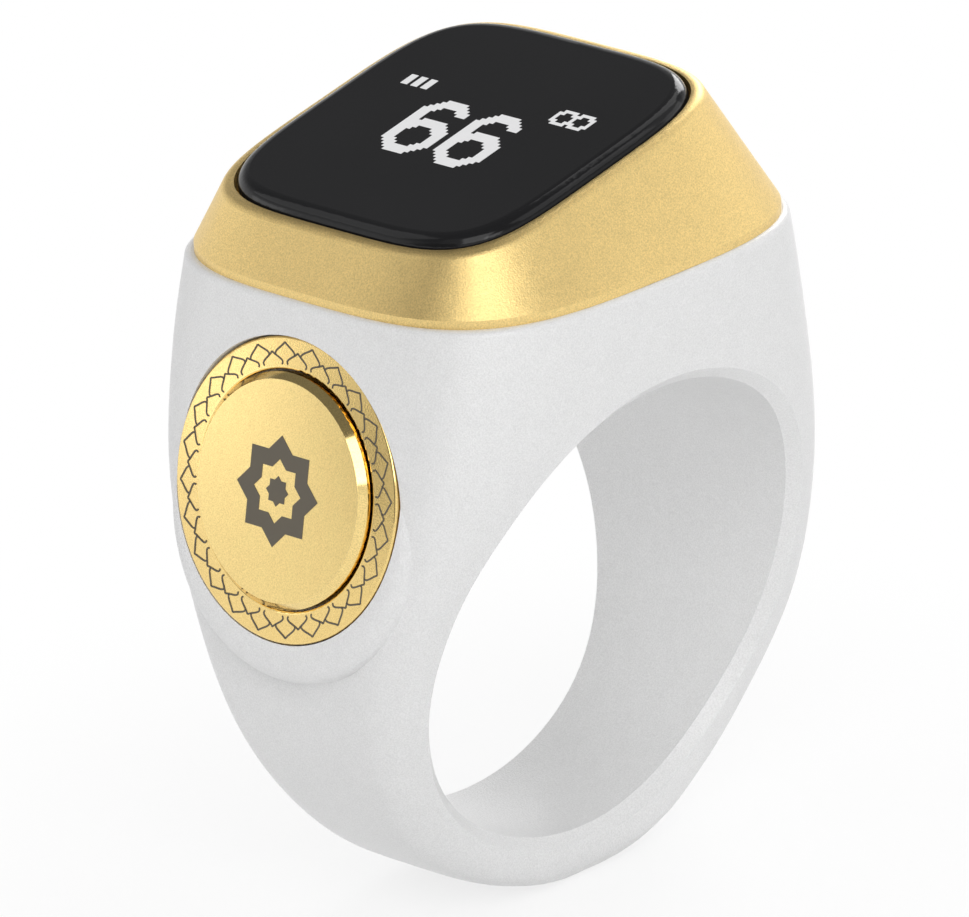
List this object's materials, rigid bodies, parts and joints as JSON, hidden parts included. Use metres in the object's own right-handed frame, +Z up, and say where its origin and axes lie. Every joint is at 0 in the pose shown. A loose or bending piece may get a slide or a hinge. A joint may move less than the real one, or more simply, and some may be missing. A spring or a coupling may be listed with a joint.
{
  "type": "finger-worn tally counter",
  "caption": "Digital tasbih counter worn on a finger: a tapered ring body with a tilted glass display in a gold bezel and a round push button on its side.",
  "frame": {"origin": "on the axis of the finger bore, at the middle of the ring's width", "axes": "+Y along the finger bore, +Z up through the display head, the button on the -X side"},
  "size_m": [0.026, 0.0202, 0.033],
  "materials": {
    "white_shell": "satin moulded plastic with a fine grain",
    "gold_bezel": "satin gold anodised",
    "black_glass": "polished, printed black behind",
    "black_tape": "matt adhesive",
    "grey_silicone": "soft matt",
    "panel_black": "glossy",
    "flex_amber": "satin film",
    "connector_cream": "moulded",
    "board_green": "solder mask",
    "screw_steel": "plain",
    "chip_black": "moulded",
    "chip_grey": "moulded",
    "can_steel": "plain",
    "ceramic_white": "fired ceramic",
    "passive_tan": "fired ceramic",
    "motor_steel": "plain",
    "lead_blue": "insulated wire",
    "contact_gold": "gold plated",
    "pouch_silver": "foil pouch",
    "white_tape": "matt adhesive",
    "lead_red": "insulated wire",
    "gold_trim": "satin gold anodised",
    "gold_cap": "satin gold anodised",
    "stem_steel": "turned",
    "clip_steel": "spring steel",
    "black_rubber": "soft matt",
    "guide_black": "moulded",
    "switch_black": "moulded",
    "plunger_white": "moulded",
    "stiffener_steel": "plain",
    "enamel_brown": "dark enamel laid in fine engraved lines",
    "pixel_grey": "lit display pixels"
  },
  "bodies": {
    "ring": {"ring_body": "white_shell", "bezel": "gold_bezel", "cover_glass": "black_glass", "glass_tape": "black_tape", "rim_seal": "grey_silicone", "display_panel": "panel_black", "display_flex": "flex_amber", "display_connector": "connector_cream", "main_board": "board_green", "board_screws": "screw_steel", "radio_chip": "chip_black", "power_chip": "chip_black", "motion_sensor": "chip_grey", "clock_crystal": "can_steel", "chip_antenna": "ceramic_white", "board_passives": "passive_tan", "vibration_motor": "motor_steel", "motor_leads": "lead_blue", "charge_contacts": "contact_gold", "charge_flex": "flex_amber", "battery": "pouch_silver", "battery_tape": "white_tape", "battery_leads": "lead_red", "trim_ring": "gold_trim", "stem_seal": "black_rubber", "button_guide": "guide_black", "switch_base": "switch_black", "switch_flex": "flex_amber", "switch_stiffener": "stiffener_steel"},
    "button": {"button_cap": "gold_cap", "button_stem": "stem_steel", "stem_clip": "clip_steel"},
    "plunger": {"switch_plunger": "plunger_white"}
  },
  "joints": [
    {"name": "button_press", "type": "slide", "parent": "ring", "child": "button", "axis": [0.9755, 0, -0.2198], "range_m": [0, 0.0004], "stiffness_N_per_m": 1500, "springref_m": -0.0004},
    {"name": "plunger_press", "type": "slide", "parent": "ring", "child": "plunger", "axis": [0.9755, 0, -0.2198], "range_m": [0, 0.0004]}
  ],
  "couplings": [
    {"joint": "plunger_press", "follows": "button_press", "ratio": 1}
  ]
}
